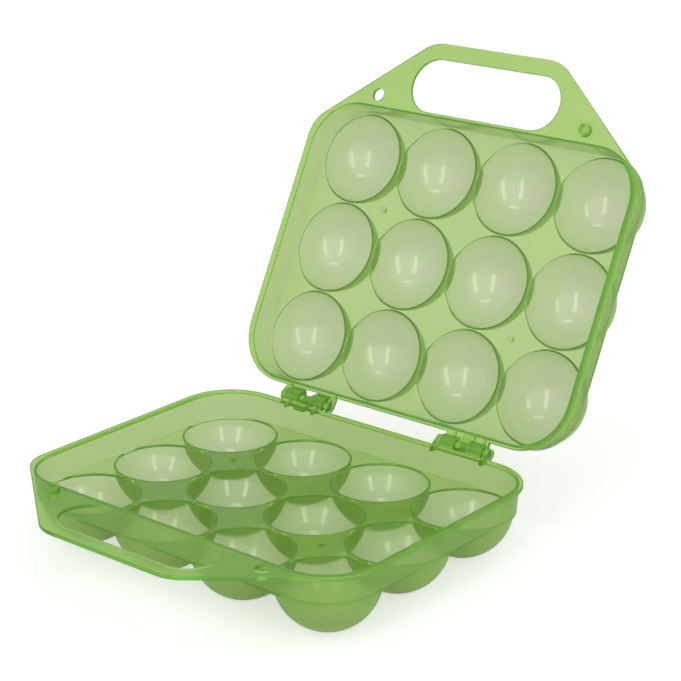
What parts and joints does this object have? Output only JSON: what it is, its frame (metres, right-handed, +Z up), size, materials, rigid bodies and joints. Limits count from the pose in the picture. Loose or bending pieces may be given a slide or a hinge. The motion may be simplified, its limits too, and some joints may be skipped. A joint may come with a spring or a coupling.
{
  "type": "egg keeper with flip lid",
  "caption": "Hinged egg keeper: a base tray and a matching flip lid, each with rounded cups and a slotted carrying handle.",
  "frame": {"origin": "on the table, under the middle of the open keeper's outline", "axes": "+X along the hinges, to the right when facing the handle side; +Y from the handle to the hinges; +Z up"},
  "size_m": [0.208, 0.2978, 0.2151],
  "materials": {
    "tinted_plastic": "glossy, see-through yellow-green"
  },
  "bodies": {
    "base": {"base_tray": "tinted_plastic"},
    "lid": {"lid_tray": "tinted_plastic"}
  },
  "joints": [
    {"name": "lid_flip", "type": "hinge", "parent": "base", "child": "lid", "pos_m": [0, 0.05078, 0.0379], "axis": [1, 0, 0], "range_deg": [0, 117.3]}
  ]
}
